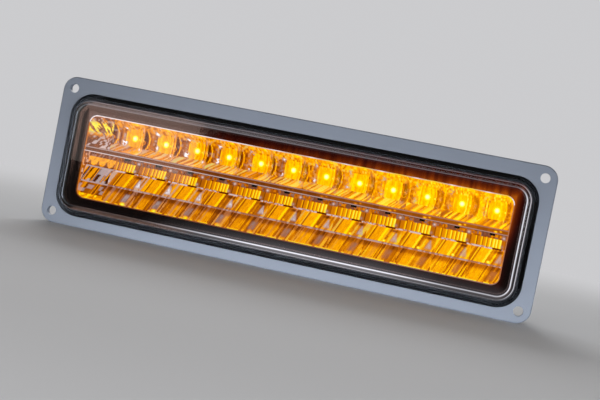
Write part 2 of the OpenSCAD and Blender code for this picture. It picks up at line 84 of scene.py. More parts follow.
# A plain pale studio: a floor at the lamp's lowest edge, a pale surround, and soft boxes in front.
# The surround is dimmer on the side that the lit face looks at, as a studio is behind its lamps.
FLOOR_COLOUR = (0.62, 0.62, 0.63, 1)
SURROUND = (0.60, 0.60, 0.615, 1)
SURROUND_LIGHT = 0.42
FRONT_DIM = 0.03
FLOOR_HALF = 3.0
# From the first to the second distance, in metres, the floor turns into the surround.
FLOOR_FADE = (0.22, 0.62)
# Mirrors and glass see the floor dark, so that the lens keeps clear of its haze.
FLOOR_MIRRORED = 0.02


def new_material(name):
    """An empty node material, its output node and a Principled shader linked to it."""
    material = bpy.data.materials.new(name)
    material.use_nodes = True
    tree = material.node_tree
    tree.nodes.clear()
    out = tree.nodes.new("ShaderNodeOutputMaterial")
    shader = tree.nodes.new("ShaderNodeBsdfPrincipled")
    tree.links.new(shader.outputs[0], out.inputs["Surface"])
    return material, tree, shader


def set_plain(shader, **values):
    """Sets sockets of a Principled shader by name, with underscores for spaces."""
    for name, value in values.items():
        shader.inputs[name.replace("_", " ")].default_value = value


def node(tree, kind, **values):
    """A new node with some of its own settings given by name."""
    made = tree.nodes.new(kind)
    for name, value in values.items():
        setattr(made, name, value)
    return made


def maths(tree, operation, a, b=None, clamp=False):
    """A Math node on two sockets or numbers; returns its output."""
    made = node(tree, "ShaderNodeMath", operation=operation, use_clamp=clamp)
    for socket, value in zip(made.inputs, (a, b)):
        if value is None:
            continue
        if isinstance(value, (int, float)):
            socket.default_value = value
        else:
            tree.links.new(value, socket)
    return made.outputs[0]


def make_floor():
    """A flat square under the lamp, 2 by 2 faces, level with the lamp's lowest point."""
    low = cad_box[0][2]
    line = np.linspace(-FLOOR_HALF, FLOOR_HALF, 3)
    x, y = np.meshgrid(line, line)
    points = np.stack([x, y, np.full_like(x, low)], -1).reshape(-1, 3)
    quads = [(i * 3 + j, i * 3 + j + 1, i * 3 + j + 4, i * 3 + j + 3) for i in range(2) for j in range(2)]
    mesh = bpy.data.meshes.new("floor")
    mesh.from_pydata(points.tolist(), [], quads)
    floor = bpy.data.objects.new("floor", mesh)
    scene.collection.objects.link(floor)
    material, tree, shader = new_material("pale_floor")
    set_plain(shader, Base_Color=FLOOR_COLOUR, Roughness=0.9, Specular_IOR_Level=0.1)
    place = tree.nodes.new("ShaderNodeTexCoord")
    away = node(tree, "ShaderNodeVectorMath", operation="LENGTH")
    tree.links.new(place.outputs["Object"], away.inputs[0])
    far = node(tree, "ShaderNodeMapRange", interpolation_type="SMOOTHSTEP")
    far.inputs["From Min"].default_value = FLOOR_FADE[0]
    far.inputs["From Max"].default_value = FLOOR_FADE[1]
    tree.links.new(away.outputs["Value"], far.inputs["Value"])
    backdrop = tree.nodes.new("ShaderNodeEmission")
    backdrop.inputs[0].default_value = SURROUND
    seamless = tree.nodes.new("ShaderNodeMixShader")
    tree.links.new(far.outputs[0], seamless.inputs[0])
    tree.links.new(shader.outputs[0], seamless.inputs[1])
    tree.links.new(backdrop.outputs[0], seamless.inputs[2])
    mirrored = tree.nodes.new("ShaderNodeEmission")
    mirrored.inputs[1].default_value = FLOOR_MIRRORED
    rays = tree.nodes.new("ShaderNodeLightPath")
    final = tree.nodes.new("ShaderNodeMixShader")
    direct = maths(tree, "MAXIMUM", rays.outputs["Is Camera Ray"], rays.outputs["Is Diffuse Ray"])
    tree.links.new(maths(tree, "SUBTRACT", 1.0, direct), final.inputs[0])
    tree.links.new(seamless.outputs[0], final.inputs[1])
    tree.links.new(mirrored.outputs[0], final.inputs[2])
    tree.links.new(final.outputs[0], tree.nodes["Material Output"].inputs["Surface"])
    mesh.materials.append(material)


make_floor()

# The camera sees the surround evenly bright, and mirrors and glass see only a fifth of its light.
world = bpy.data.worlds.new("surround")
scene.world = world
world.use_nodes = True
sky = world.node_tree
sky.nodes.clear()
sky_out = sky.nodes.new("ShaderNodeOutputWorld")
seen = sky.nodes.new("ShaderNodeBackground")
seen.inputs[0].default_value = SURROUND
seen.inputs[1].default_value = 1.0
lit = sky.nodes.new("ShaderNodeBackground")
lit.inputs[0].default_value = (1, 1, 1, 1)
direction = sky.nodes.new("ShaderNodeTexCoord")
parts = sky.nodes.new("ShaderNodeSeparateXYZ")
sky.links.new(direction.outputs["Generated"], parts.inputs[0])
fade = node(sky, "ShaderNodeMapRange", interpolation_type="SMOOTHSTEP")
fade.inputs["From Min"].default_value = -0.45
fade.inputs["From Max"].default_value = 0.35
fade.inputs["To Min"].default_value = FRONT_DIM
fade.inputs["To Max"].default_value = SURROUND_LIGHT
sky.links.new(parts.outputs["Y"], fade.inputs["Value"])
rays = sky.nodes.new("ShaderNodeLightPath")
crisp = maths(sky, "MAXIMUM", rays.outputs["Is Glossy Ray"], rays.outputs["Is Transmission Ray"])
share = maths(sky, "SUBTRACT", 1.0, maths(sky, "MULTIPLY", crisp, 0.8))
sky.links.new(maths(sky, "MULTIPLY", fade.outputs[0], share), lit.inputs[1])
choose = sky.nodes.new("ShaderNodeMixShader")
sky.links.new(rays.outputs["Is Camera Ray"], choose.inputs[0])
sky.links.new(lit.outputs[0], choose.inputs[1])
sky.links.new(seen.outputs[0], choose.inputs[2])
sky.links.new(choose.outputs[0], sky_out.inputs["Surface"])


def soft_box(name, at, look_at, size, power, colour=(1, 1, 1)):
    """A rectangular area light at a place, in metres, that faces a point."""
    data = bpy.data.lights.new(name, "AREA")
    data.color = colour
    data.shape = "RECTANGLE"
    data.size, data.size_y = size
    data.energy = power
    light = bpy.data.objects.new(name, data)
    light.location = at
    light.rotation_euler = (Vector(look_at) - Vector(at)).to_track_quat("-Z", "Y").to_euler()
    scene.collection.objects.link(light)
    return light


# The left box lies flat in the bezel's mirror image, and draws the pale patch on its upper left. The
# others give the lens its fine lines and the back its edge; nothing sees them through the lens.
soft_box("left_box", (-0.336, -0.62, 0.085), (-0.336, 0, 0.085), (0.187, 0.23), 0.115, (1, 0.88, 0.80))
right_box = soft_box("right_box", (0.80, -0.45, 0.12), (0.1, 0, 0), (0.13, 0.40), 0.5)
top_strip = soft_box("top_strip", (0.0, -0.45, 0.60), (0, 0, 0), (1.2, 0.30), 1.0)
back_box = soft_box("back_box", (-0.3, 0.9, 0.7), (0, 0, 0), (0.8, 0.5), 7.0)
for box in (right_box, top_strip, back_box):
    box.visible_transmission = False
for box in (right_box, top_strip):
    box.visible_diffuse = False
# The washes light the grey plastic from above, from the right and from below, and no mirror sees them.
low_wash = soft_box("low_wash", (0.02, -0.10, -0.0405), (0.02, 0, -0.02), (0.34, 0.004), 0.30)
for wash in (soft_box("top_wash", (0.05, -0.60, 0.75), (0, 0, 0), (0.8, 0.35), 1.6),
             soft_box("right_wash", (0.85, -0.60, 0.10), (0.1, 0, 0), (0.3, 0.3), 1.1), low_wash):
    wash.visible_camera = False
    wash.visible_glossy = False
    wash.visible_transmission = False
# The low wash brightens the lower flange, and lights no floor, where it would draw a line.
lit_by_low_wash = bpy.data.collections.new("lit_by_low_wash")
lit_by_low_wash.objects.link(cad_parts["housing"])
low_wash.light_linking.receiver_collection = lit_by_low_wash


# Every moulded piece has a fine grain, so one node group makes it: a mottled tone, a roughness that
# wanders and a height for a bump, all from the object's own coordinates.
def make_grain_group():
    """Group "moulded_grain": noise at two scales. Mottle, Rough and Height come out of it."""
    group = bpy.data.node_groups.new("moulded_grain", "ShaderNodeTree")
    for name, default in (("Scale", 900.0), ("Tone", 0.04), ("Base Roughness", 0.4), ("Wander", 0.08)):
        socket = group.interface.new_socket(name, in_out="INPUT", socket_type="NodeSocketFloat")
        socket.default_value = default
    for name in ("Mottle", "Rough", "Height"):
        group.interface.new_socket(name, in_out="OUTPUT", socket_type="NodeSocketFloat")
    given = group.nodes.new("NodeGroupInput")
    out = group.nodes.new("NodeGroupOutput")
    place = group.nodes.new("ShaderNodeTexCoord")
    fine = node(group, "ShaderNodeTexNoise")
    fine.inputs["Detail"].default_value = 3.0
    group.links.new(place.outputs["Object"], fine.inputs["Vector"])
    group.links.new(given.outputs["Scale"], fine.inputs["Scale"])
    broad = node(group, "ShaderNodeTexNoise")
    broad.inputs["Scale"].default_value = 30.0
    group.links.new(place.outputs["Object"], broad.inputs["Vector"])
    centred = maths(group, "SUBTRACT", broad.outputs["Fac"], 0.5)
    tone = maths(group, "MULTIPLY", centred, given.outputs["Tone"])
    mottle = maths(group, "ADD", tone, 1.0)
    wander = maths(group, "MULTIPLY", centred, given.outputs["Wander"])
    rough = maths(group, "ADD", wander, given.outputs["Base Roughness"])
    group.links.new(mottle, out.inputs["Mottle"])
    group.links.new(rough, out.inputs["Rough"])
    group.links.new(fine.outputs["Fac"], out.inputs["Height"])
    return group


grain = make_grain_group()


def moulded(name, colour, roughness, scale=900.0, bump=0.15, tone=0.12, **plain):
    """A moulded or coated material: its colour times the grain's mottle, with a fine bump."""
    material, tree, shader = new_material(name)
    set_plain(shader, **plain)
    use = tree.nodes.new("ShaderNodeGroup")
    use.node_tree = grain
    use.inputs["Scale"].default_value = scale
    use.inputs["Tone"].default_value = tone
    use.inputs["Base Roughness"].default_value = roughness
    tint = node(tree, "ShaderNodeMix", data_type="RGBA", blend_type="MULTIPLY")
    tint.inputs[0].default_value = 1.0
    tint.inputs[6].default_value = (*colour, 1)
    tree.links.new(use.outputs["Mottle"], tint.inputs[7])
    tree.links.new(tint.outputs[2], shader.inputs["Base Color"])
    tree.links.new(use.outputs["Rough"], shader.inputs["Roughness"])
    relief = tree.nodes.new("ShaderNodeBump")
    relief.inputs["Strength"].default_value = bump
    relief.inputs["Distance"].default_value = 0.05 * MM
    tree.links.new(use.outputs["Height"], relief.inputs["Height"])
    tree.links.new(relief.outputs["Normal"], shader.inputs["Normal"])
    return material


def finish_node(names, material):
    """Gives carried-over CAD nodes this material in all their slots."""
    for name in names:
        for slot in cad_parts[name].material_slots:
            slot.material = material


# The housing is one grey injection moulding, satin, with its flange, groove, bowl, ribs and spout.
grey_plastic = moulded("satin_grey_plastic", (0.212, 0.243, 0.302), 0.42, bump=0.12, tone=0.10)
finish_node(["housing"], grey_plastic)


# The sealing bead is black butyl, laid in the groove; it shows as a dark line round the lens foot.
butyl = moulded("black_butyl", (0.006, 0.006, 0.007), 0.45, bump=0.03)
finish_node(["lens_seal"], butyl)


# The lens is one clear polycarbonate moulding: a flat face, a rounded shoulder and a sloping side
# down to the foot that stands in the groove. It is replaced by the same form, finely rounded.
lens_low, lens_high = (np.array(c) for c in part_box("lens"))
LENS_R = 13.0 * MM
LENS_WALL = 2.5 * MM
LENS_LEAN = 3.4 * MM
LENS_SHOULDER = 3.0 * MM
LENS_SIDE = -3.8 * MM
LENS_EDGE_R = 0.3 * MM
SMOOTH_ANGLE = math.radians(35)


def round_path(width, height, radius, centre_z, corner_steps=14, side_steps=24):
    """Inner corner-centre points and outward normals round a rectangle with round corners.
    Each corner turns its normal by a quarter circle round a fixed centre; each side shifts the centre."""
    half = np.array([width / 2 - radius, height / 2 - radius])
    signs = np.array([(1, 1), (-1, 1), (-1, -1), (1, -1)])
    centres, normals = [], []
    for k in range(4):
        angle = np.linspace(0, math.pi / 2, corner_steps + 1) + k * math.pi / 2
        centre = signs[k] * half
        centres.append(np.repeat(centre[None], angle.size, 0))
        normals.append(np.stack([np.cos(angle), np.sin(angle)], 1))
        following = signs[(k + 1) % 4] * half
        share = np.linspace(0, 1, side_steps + 1)[1:-1, None]
        centres.append(centre + (following - centre) * share)
        last = (k + 1) * math.pi / 2
        normals.append(np.repeat([[math.cos(last), math.sin(last)]], side_steps - 1, 0))
    centres = np.concatenate(centres)
    centres[:, 1] += centre_z
    return centres, np.concatenate(normals)


def swept_ring(name, profile, path):
    """Carries a closed profile of (outward, y) points round a path of centres and normals:
    point = centre + outward * normal in the xz plane, and y as given."""
    centres, normals = path
    out = profile[:, 0][None, :, None]
    flat = centres[:, None, :] + out * normals[:, None, :]
    depth = np.broadcast_to(profile[:, 1][None, :, None], flat.shape[:2] + (1,))
    points = np.concatenate([flat[..., :1], depth, flat[..., 1:]], -1)
    rows, cols = points.shape[:2]
    i, j = np.meshgrid(np.arange(rows), np.arange(cols), indexing="ij")
    a = i * cols + j
    b = ((i + 1) % rows) * cols + j
    c = ((i + 1) % rows) * cols + (j + 1) % cols
    d = i * cols + (j + 1) % cols
    quads = np.stack([a, b, c, d], -1).reshape(-1, 4)
    mesh = bpy.data.meshes.new(name)
    mesh.from_pydata(points.reshape(-1, 3).tolist(), [], quads.tolist())
    return mesh


def settle(mesh, name):
    """Merges doubles, points the faces outwards, shades smooth up to an angle and links the piece."""
    work = bmesh.new()
    work.from_mesh(mesh)
    bmesh.ops.remove_doubles(work, verts=work.verts, dist=1e-6)
    open_edges = [e for e in work.edges if len(e.link_faces) == 1]
    if open_edges:
        bmesh.ops.holes_fill(work, edges=open_edges, sides=0)
    bmesh.ops.recalc_face_normals(work, faces=work.faces)
    for face in work.faces:
        face.smooth = True
    for edge in work.edges:
        if len(edge.link_faces) == 2 and edge.calc_face_angle(0) > SMOOTH_ANGLE:
            edge.smooth = False
    work.to_mesh(mesh)
    work.free()
    piece = bpy.data.objects.new(name, mesh)
    scene.collection.objects.link(piece)
    return piece


def arc_points(centre, radius, start, end, steps):
    """Points on an arc between two angles in degrees: centre + radius * (cos, sin)."""
    angle = np.radians(np.linspace(start, end, steps + 1))
    return np.stack([centre[0] + radius * np.cos(angle), centre[1] + radius * np.sin(angle)], 1)


def make_lens():
    """The lens as a profile carried round its outline. The folded faces between the corners' centres
    are dropped, and settle fills the hole that they leave on each side with one flat face."""
    width = lens_high[0] - lens_low[0]
    height = lens_high[2] - lens_low[2]
    middle = (lens_high[2] + lens_low[2]) / 2
    face, foot = lens_low[1], lens_high[1]
    shoulder = (LENS_R - LENS_LEAN - LENS_SHOULDER, face + LENS_SHOULDER)
    inner = face + LENS_WALL
    edge = arc_points((LENS_R - LENS_EDGE_R, LENS_SIDE + LENS_EDGE_R), LENS_EDGE_R, 0, -40, 4)
    outer = np.concatenate([
        [[LENS_R, foot]], edge,
        arc_points(shoulder, LENS_SHOULDER, -18, -90, 14),
        [[0, face]]])
    inside = np.array([
        [0, inner], [shoulder[0] - 0.6 * MM, inner], [shoulder[0] + 0.5 * MM, inner + 0.35 * MM],
        [LENS_R - LENS_WALL - 0.2 * MM, LENS_SIDE + 1.0 * MM], [LENS_R - LENS_WALL, LENS_SIDE + 1.5 * MM],
        [LENS_R - LENS_WALL, foot]])
    path = round_path(width, height, LENS_R, middle, 18)
    ring = swept_ring("clear_cover", np.concatenate([outer, inside]), path)
    work = bmesh.new()
    work.from_mesh(ring)
    bmesh.ops.remove_doubles(work, verts=work.verts, dist=1e-6)
    flat_faces = [f for f in work.faces if all(abs(v.co.x) < width / 2 - LENS_R + 1e-6 and
                  abs(v.co.z - middle) < height / 2 - LENS_R + 1e-6 for v in f.verts)]
    bmesh.ops.delete(work, geom=flat_faces, context="FACES")
    work.to_mesh(ring)
    work.free()
    return settle(ring, "clear_cover")


# Angles round the shoulder's arc, in degrees: 18 at the sloping side and 90 at the flat face.
INNER_LINE = 81
OUTER_LINE = 34
FACE_STARTS = 88
BAND_STARTS = 20


def paint_shoulder_highlight(points):
    """Painted highlight of the polished shoulder at each point of the lens, sent out as emission: two fine
    lines along its ends, exp(-((angle - line) / width)^2), a faint painted band between them, and a painted
    haze where the flat face starts. They are painted bright at the right and the bottom, and dim at the top
    and the left."""
    size = (lens_high - lens_low) / 2
    x, y = points[:, 0], points[:, 1]
    over_x = np.sign(x) * np.maximum(np.abs(x) - size[0] + LENS_R, 0)
    z = points[:, 2] - (lens_high[2] + lens_low[2]) / 2
    over_z = np.sign(z) * np.maximum(np.abs(z) - size[2] + LENS_R, 0)
    out = np.maximum(np.hypot(over_x, over_z), 1e-9)
    across = out - (LENS_R - LENS_LEAN - LENS_SHOULDER)
    rise = lens_low[1] + LENS_SHOULDER - y
    on_arc = np.abs(np.hypot(across, rise) - LENS_SHOULDER) < 0.02 * MM
    angle = np.degrees(np.arctan2(rise, across))
    up, down = np.maximum(over_z / out, 0) ** 2, np.maximum(-over_z / out, 0) ** 2
    right, left = np.maximum(over_x / out, 0) ** 2, np.maximum(-over_x / out, 0) ** 2
    middle = np.clip((x + 0.075) / 0.07, 0, 1) * (1 - 0.6 * np.clip((x - 0.055) / 0.04, 0, 1))
    inner = 0.13 * up + 0.95 * right + 0.08 * left + (0.03 + 1.3 * middle) * down
    outer = 0.13 * up + 0.75 * right + 0.03 * left + (0.03 + 0.16 * middle) * down
    band = 0.055 * up * np.clip(0.8 - x / 0.1, 0, 1) + 0.02 * right + 0.15 * middle * down
    light = inner * np.exp(-((angle - INNER_LINE) / 6) ** 2)
    light = light + outer * np.exp(-((angle - OUTER_LINE) / 7) ** 2)
    haze = 0.07 * middle * down
    return on_arc * np.where(angle < FACE_STARTS, light + band * (angle > BAND_STARTS), haze)


cover = make_lens()
spots = np.empty(len(cover.data.vertices) * 3)
cover.data.vertices.foreach_get("co", spots)
# The lens's emission draws painted highlights along its shoulder: fine bright lines, a faint band and a haze.
shoulder_painted_highlight = paint_shoulder_highlight(spots.reshape(-1, 3))
cover.data.attributes.new("shoulder_painted_highlight", "FLOAT", "POINT").data.foreach_set("value", shoulder_painted_highlight)
clear, tree, shader = new_material("clear_polycarbonate")
set_plain(shader, Transmission_Weight=1.0, IOR=1.49, Roughness=0.0)
melt = tree.nodes.new("ShaderNodeTexNoise")
melt.inputs["Scale"].default_value = 60.0
place = tree.nodes.new("ShaderNodeTexCoord")
tree.links.new(place.outputs["Object"], melt.inputs["Vector"])
tint = node(tree, "ShaderNodeMix", data_type="RGBA")
tint.inputs[6].default_value = (0.97, 0.975, 0.98, 1)
tint.inputs[7].default_value = (1, 1, 1, 1)
tree.links.new(melt.outputs["Fac"], tint.inputs[0])
tree.links.new(tint.outputs[2], shader.inputs["Base Color"])
# The emission colour is the painted shoulder highlight.
highlight_level = node(tree, "ShaderNodeAttribute", attribute_name="shoulder_painted_highlight")
glint = node(tree, "ShaderNodeMix", data_type="RGBA")
glint.inputs[6].default_value = (0, 0, 0, 1)
glint.inputs[7].default_value = (0.90, 0.91, 1.0, 1)
tree.links.new(highlight_level.outputs["Fac"], glint.inputs[0])
tree.links.new(glint.outputs[2], shader.inputs["Emission Color"])
shader.inputs["Emission Strength"].default_value = 1.0
cover.data.materials.append(clear)
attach(cover, "root")
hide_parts("lens")


# The bezel is a smooth black frame behind the lens. Painted amber light, sent out as emission, spills over it
# near the window, most at the right, where the diodes are seen straight on.
window_low, window_high = (np.array(c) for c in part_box("row_reflector"))
TUCK = 1.2 * MM
WINDOW_H = 48.8 * MM
WINDOW_R = 5.0 * MM
SPILL_REACH = 3.2 * MM
window_half = (window_high[0] - window_low[0]) / 2 - TUCK
window_top = window_high[2] - TUCK
window_bottom = window_top - WINDOW_H
window_middle = (window_top + window_bottom) / 2


def set_ramp(ramp, stops):
    """Gives a Color Ramp node its stops, as (position, colour) pairs from 0 to 1."""
    while len(ramp.color_ramp.elements) < len(stops):
        ramp.color_ramp.elements.new(0.5)
    for element, (position, colour) in zip(ramp.color_ramp.elements, stops):
        element.position = position
        element.color = (*colour, 1)


bezel_black, tree, shader = new_material("smooth_black_frame")
set_plain(shader, Base_Color=(0.150, 0.100, 0.088, 1), Metallic=1.0)
# Painted amber glow: emission that falls off from the window's edge, stronger to the right and at the top, in
# streaks.
place = tree.nodes.new("ShaderNodeTexCoord")
split = tree.nodes.new("ShaderNodeSeparateXYZ")
tree.links.new(place.outputs["Object"], split.inputs[0])
beyond_x = maths(tree, "SUBTRACT", maths(tree, "ABSOLUTE", split.outputs["X"]), float(window_half))
up_z = maths(tree, "ABSOLUTE", maths(tree, "SUBTRACT", split.outputs["Z"], float(window_middle)))
beyond_z = maths(tree, "SUBTRACT", up_z, float(window_top - window_middle))
beyond_x = maths(tree, "MULTIPLY", beyond_x, 2.0)
beyond = maths(tree, "MAXIMUM", maths(tree, "MAXIMUM", beyond_x, beyond_z), 0.0)
near = maths(tree, "POWER", 2.718, maths(tree, "DIVIDE", beyond, -SPILL_REACH))
rightward = node(tree, "ShaderNodeMapRange")
rightward.inputs["From Min"].default_value = -0.06
rightward.inputs["From Max"].default_value = 0.12
rightward.inputs["To Min"].default_value = 0.10
tree.links.new(split.outputs["X"], rightward.inputs["Value"])
upward = node(tree, "ShaderNodeMapRange", interpolation_type="SMOOTHSTEP")
upward.inputs["From Min"].default_value = -0.014
upward.inputs["From Max"].default_value = 0.024
upward.inputs["To Min"].default_value = 0.07
tree.links.new(split.outputs["Z"], upward.inputs["Value"])
rays_map = tree.nodes.new("ShaderNodeMapping")
rays_map.inputs["Scale"].default_value = (1.0, 1.0, 0.12)
tree.links.new(place.outputs["Object"], rays_map.inputs["Vector"])
streaks = tree.nodes.new("ShaderNodeTexNoise")
streaks.inputs["Scale"].default_value = 260.0
streaks.inputs["Detail"].default_value = 4.0
tree.links.new(rays_map.outputs[0], streaks.inputs["Vector"])
uneven = maths(tree, "MULTIPLY", maths(tree, "POWER", streaks.outputs["Fac"], 1.3), 2.5)
reach = maths(tree, "MULTIPLY", maths(tree, "MULTIPLY", rightward.outputs[0], upward.outputs[0]), uneven)
painted_spill = maths(tree, "MULTIPLY", near, reach, clamp=True)
painted_spill_colour = tree.nodes.new("ShaderNodeValToRGB")
set_ramp(painted_spill_colour, [(0.0, (0, 0, 0)), (0.15, (0.035, 0.003, 0.001)), (0.50, (0.17, 0.024, 0.002)),
                (1.0, (0.42, 0.090, 0.003))])
tree.links.new(painted_spill, painted_spill_colour.inputs[0])
tree.links.new(painted_spill_colour.outputs[0], shader.inputs["Emission Color"])
shader.inputs["Emission Strength"].default_value = 1.0
use = tree.nodes.new("ShaderNodeGroup")
use.node_tree = grain
use.inputs["Base Roughness"].default_value = 0.10
tree.links.new(use.outputs["Rough"], shader.inputs["Roughness"])
finish_node(["bezel"], bezel_black)


# The reflectors are moulded plastic with a bright vacuum coating. The amber light of the diodes on them is
# painted: two attributes of the mesh hold it, one for how much painted amber light a facet sends out as
# emission, and one for how much painted pale glint it sends out.
def grid_mesh(name, points, keep, attributes):
    """A grid of points (rows, columns, 3) as quads where keep is true, with float attributes
    given for each point."""
    cols = points.shape[1]
    i, j = np.nonzero(keep)
    a = i * cols + j
    quads = np.stack([a, a + 1, a + cols + 1, a + cols], 1)
    mesh = bpy.data.meshes.new(name)
    mesh.from_pydata(points.reshape(-1, 3).tolist(), [], quads.tolist())
    for title, values in attributes.items():
        layer = mesh.attributes.new(title, "FLOAT", "POINT")
        layer.data.foreach_set("value", np.asarray(values, float).ravel())
    return mesh


def bright_coating(name):
    """Bright metal coating that sends out painted light: painted amber light and painted pale glints from two
    attributes, over a metal base tinted amber-brown that turns greyer under the glints.
    """
    material, tree, shader = new_material(name)
    set_plain(shader, Metallic=1.0)
    painted_glow = node(tree, "ShaderNodeAttribute", attribute_name="painted_glow")
    silver = node(tree, "ShaderNodeAttribute", attribute_name="silver")
    ramp = tree.nodes.new("ShaderNodeValToRGB")
    set_ramp(ramp, [(0.0, (0.008, 0.002, 0)), (0.15, (0.060, 0.010, 0)), (0.35, (0.20, 0.042, 0)),
                    (0.55, (0.56, 0.150, 0)), (0.75, (1.0, 0.39, 0)), (0.92, (1.0, 0.76, 0)),
                    (1.0, (1.0, 0.92, 0.08))])
    tree.links.new(painted_glow.outputs["Fac"], ramp.inputs[0])
    sent = node(tree, "ShaderNodeMix", data_type="RGBA")
    glint_paint = tree.nodes.new("ShaderNodeValToRGB")
    set_ramp(glint_paint, [(0.0, (0.20, 0.12, 0.09)), (0.7, (0.56, 0.43, 0.43)), (1.0, (1.0, 0.95, 1.0))])
    tree.links.new(silver.outputs["Fac"], glint_paint.inputs[0])
    tree.links.new(glint_paint.outputs[0], sent.inputs[7])
    tree.links.new(maths(tree, "MULTIPLY", silver.outputs["Fac"], 1.35, clamp=True), sent.inputs[0])
    tree.links.new(ramp.outputs[0], sent.inputs[6])
    tree.links.new(sent.outputs[2], shader.inputs["Emission Color"])
    shader.inputs["Emission Strength"].default_value = 1.1
    base = node(tree, "ShaderNodeMix", data_type="RGBA")
    base.inputs[6].default_value = (0.10, 0.035, 0.008, 1)
    base.inputs[7].default_value = (0.14, 0.13, 0.135, 1)
    tree.links.new(silver.outputs["Fac"], base.inputs[0])
    tree.links.new(base.outputs[2], shader.inputs["Base Color"])
    use = tree.nodes.new("ShaderNodeGroup")
    use.node_tree = grain
    use.inputs["Base Roughness"].default_value = 0.16
    tree.links.new(use.outputs["Rough"], shader.inputs["Roughness"])
    return material


coating = bright_coating("bright_coating_painted_amber")
BOWLS = 12
row_diodes = [f"row_diode_{k:02d}" for k in range(1, BOWLS + 1)]
step_diodes = [f"step_diode_{k:02d}" for k in range(1, BOWLS + 1)]
bowl_centres = np.array([np.mean([corner[0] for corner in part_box(name)]) for name in row_diodes])
diode_low, diode_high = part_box("row_diode_01")
row_middle = (diode_low[2] + diode_high[2]) / 2
PITCH = bowl_centres[1] - bowl_centres[0]
ROW_H = 18.5 * MM
BAR_H = 3.0 * MM
RIM_Y = -1.7 * MM
BOWL_D = 11.5 * MM
END_D = 5.0 * MM
DIODE_HOLE_R = 1.5 * MM
ROW_FLUTES = 7
ROW_FLUTE_DEPTH = 0.35 * MM
BAR_BEAD = 0.5 * MM
# In the functions that give the painted looks, u and v are millimetres in one cell of this width, sizes are
# in millimetres too, and the painted amber light and painted glints are levels from 0 to 1.
CELL = 19.2
row_left = bowl_centres[0] - PITCH / 2
row_right = bowl_centres[-1] + PITCH / 2
bar_top = row_middle - ROW_H / 2
bar_low = bar_top - BAR_H


def hashed(*numbers):
    """A repeatable number from 0 to 1 for whole-number inputs: the fraction of a large sine."""
    total = sum(n * k for n, k in zip(numbers, (12.9898, 78.233, 37.719)))
    return np.mod(np.sin(total) * 43758.5453, 1.0)


def bump_at(distance, width):
    """A soft spot: 1 at the middle, falling as exp(-(d / width)^2)."""
    return np.exp(-(distance / width) ** 2)


def step_at(value, edge, softness):
    """A soft step from 0 to 1 as value passes edge."""
    return 1 / (1 + np.exp(-(value - edge) / softness))


def spot(u, v, at, size):
    """A soft spot at a place, with its own width and height: exp(-(du/w)^2 - (dv/h)^2)."""
    return np.exp(-((u - at[0]) / size[0]) ** 2 - ((v - at[1]) / size[1]) ** 2)


